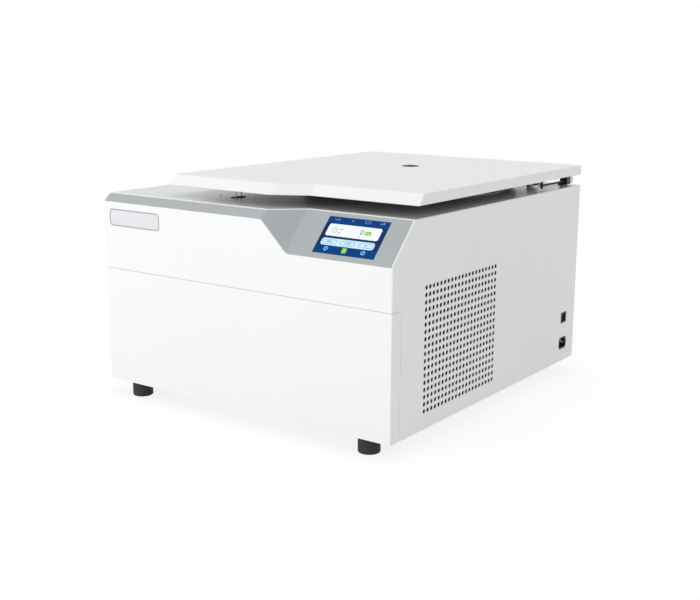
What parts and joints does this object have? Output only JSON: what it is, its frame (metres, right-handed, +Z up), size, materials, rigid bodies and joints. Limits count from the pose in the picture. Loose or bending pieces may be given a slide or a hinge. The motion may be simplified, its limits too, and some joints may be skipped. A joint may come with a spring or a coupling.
{
  "type": "benchtop centrifuge",
  "caption": "Refrigerated benchtop centrifuge: box cabinet on rubber feet, rear-hinged lid over a swing-bucket rotor chamber, sloping touch screen.",
  "frame": {"origin": "middle of the footprint on the surface that the feet stand on", "axes": "+X to the right seen from the front, +Y to the back, +Z up"},
  "size_m": [0.575, 0.612, 0.378],
  "materials": {
    "white_paint": "smooth powder coat, satin",
    "grey_plastic": "moulded, fine satin texture",
    "grey_deck": "glossy grey paint",
    "badge": "satin plate with a bright rim",
    "screen_glass": "glossy cover glass over a lit display",
    "black_rubber": "matt",
    "black_plastic": "moulded, satin",
    "dark_metal": "black finish, satin",
    "liner_grey": "moulded, matt",
    "stainless": "brushed",
    "steel": "ground",
    "zinc_plate": "zinc plated",
    "aluminium": "anodised",
    "copper": "drawn copper",
    "foam": "closed-cell foam",
    "circuit": "green solder mask"
  },
  "bodies": {
    "cabinet": {"base_plate": "zinc_plate", "foot_front_left": "black_rubber", "foot_front_right": "black_rubber", "foot_rear_left": "black_rubber", "foot_rear_right": "black_rubber", "right_side_panel": "white_paint", "left_side_panel": "white_paint", "upper_front_panel": "white_paint", "lower_front_cover": "white_paint", "rear_panel": "white_paint", "top_deck": "grey_deck", "control_bezel": "grey_plastic", "touch_screen": "screen_glass", "display_module": "dark_metal", "control_board": "circuit", "name_plate": "badge", "chamber_bowl": "stainless", "evaporator_jacket": "copper", "chamber_insulation": "foam", "guard_barrel": "steel", "motor_damper": "black_rubber", "motor_housing": "dark_metal", "hinge_bracket_left": "dark_metal", "hinge_pin_left": "stainless", "gas_spring_foot_left": "zinc_plate", "hinge_bracket_right": "dark_metal", "hinge_pin_right": "stainless", "gas_spring_foot_right": "zinc_plate", "latch_frame": "zinc_plate", "latch_motor": "black_plastic", "mains_inlet": "black_plastic", "switch_frame": "black_plastic", "compressor": "dark_metal", "condenser": "aluminium", "fan_frame": "black_plastic", "discharge_pipe": "copper", "drive_controller": "aluminium"},
    "lid": {"lid_shell": "white_paint", "lid_inner_plate": "zinc_plate", "lid_armour_plate": "steel", "lid_liner": "liner_grey", "lid_gasket": "black_rubber", "port_window": "black_plastic", "hinge_arm_left": "dark_metal", "hinge_arm_right": "dark_metal", "latch_striker": "dark_metal"},
    "gas_tube_left": {"gas_spring_tube_left": "dark_metal"},
    "gas_rod_left": {"gas_spring_rod_left": "steel"},
    "gas_tube_right": {"gas_spring_tube_right": "dark_metal"},
    "gas_rod_right": {"gas_spring_rod_right": "steel"},
    "latch_hook": {"latch_hook": "steel"},
    "power_rocker": {"power_rocker": "black_plastic"},
    "rotor": {"motor_shaft": "steel", "swing_rotor": "aluminium", "rotor_nut": "stainless"},
    "bucket_1": {"bucket_1": "aluminium"},
    "bucket_2": {"bucket_2": "aluminium"},
    "bucket_3": {"bucket_3": "aluminium"},
    "bucket_4": {"bucket_4": "aluminium"},
    "condenser_fan": {"fan_blades": "black_plastic"}
  },
  "joints": [
    {"name": "lid_hinge", "type": "hinge", "parent": "cabinet", "child": "lid", "pos_m": [0, 0.2975, 0.353], "axis": [-1, 0, 0], "range_deg": [0, 75]},
    {"name": "gas_tube_swing_left", "type": "hinge", "parent": "cabinet", "child": "gas_tube_left", "pos_m": [-0.1015, 0.254, 0.064], "axis": [-1, 0, 0], "range_deg": [0, 8]},
    {"name": "gas_rod_slide_left", "type": "slide", "parent": "gas_tube_left", "child": "gas_rod_left", "axis": [0, -0.0589, 0.9983], "range_m": [0, 0.06]},
    {"name": "gas_tube_swing_right", "type": "hinge", "parent": "cabinet", "child": "gas_tube_right", "pos_m": [0.2205, 0.254, 0.064], "axis": [-1, 0, 0], "range_deg": [0, 8]},
    {"name": "gas_rod_slide_right", "type": "slide", "parent": "gas_tube_right", "child": "gas_rod_right", "axis": [0, -0.0589, 0.9983], "range_m": [0, 0.06]},
    {"name": "latch_turn", "type": "hinge", "parent": "cabinet", "child": "latch_hook", "pos_m": [-0.0575, -0.211, 0.3], "axis": [0, 1, 0], "range_deg": [-25, 0]},
    {"name": "rocker_tilt", "type": "hinge", "parent": "cabinet", "child": "power_rocker", "pos_m": [0.2829, 0.26, 0.107], "axis": [0, 1, 0], "range_deg": [-18, 0]},
    {"name": "rotor_spin", "type": "hinge", "parent": "cabinet", "child": "rotor", "pos_m": [0.0555, 0.098, 0.226], "axis": [0, 0, 1], "continuous": true},
    {"name": "bucket_swing_1", "type": "hinge", "parent": "rotor", "child": "bucket_1", "pos_m": [0.1355, 0.098, 0.26], "axis": [0, -1, 0], "range_deg": [0, 90]},
    {"name": "bucket_swing_2", "type": "hinge", "parent": "rotor", "child": "bucket_2", "pos_m": [0.0555, 0.178, 0.26], "axis": [1, 0, 0], "range_deg": [0, 90]},
    {"name": "bucket_swing_3", "type": "hinge", "parent": "rotor", "child": "bucket_3", "pos_m": [-0.0245, 0.098, 0.26], "axis": [0, 1, 0], "range_deg": [0, 90]},
    {"name": "bucket_swing_4", "type": "hinge", "parent": "rotor", "child": "bucket_4", "pos_m": [0.0555, 0.018, 0.26], "axis": [-1, 0, 0], "range_deg": [0, 90]},
    {"name": "fan_spin", "type": "hinge", "parent": "cabinet", "child": "condenser_fan", "pos_m": [0.2285, -0.11007, 0.144], "axis": [1, 0, 0], "continuous": true}
  ],
  "couplings": [
    {"joint": "gas_tube_swing_left", "follows": "lid_hinge", "ratio": 0.10407},
    {"joint": "gas_rod_slide_left", "follows": "lid_hinge", "m_per_rad": 0.045622},
    {"joint": "gas_tube_swing_right", "follows": "lid_hinge", "ratio": 0.10407},
    {"joint": "gas_rod_slide_right", "follows": "lid_hinge", "m_per_rad": 0.045622}
  ]
}
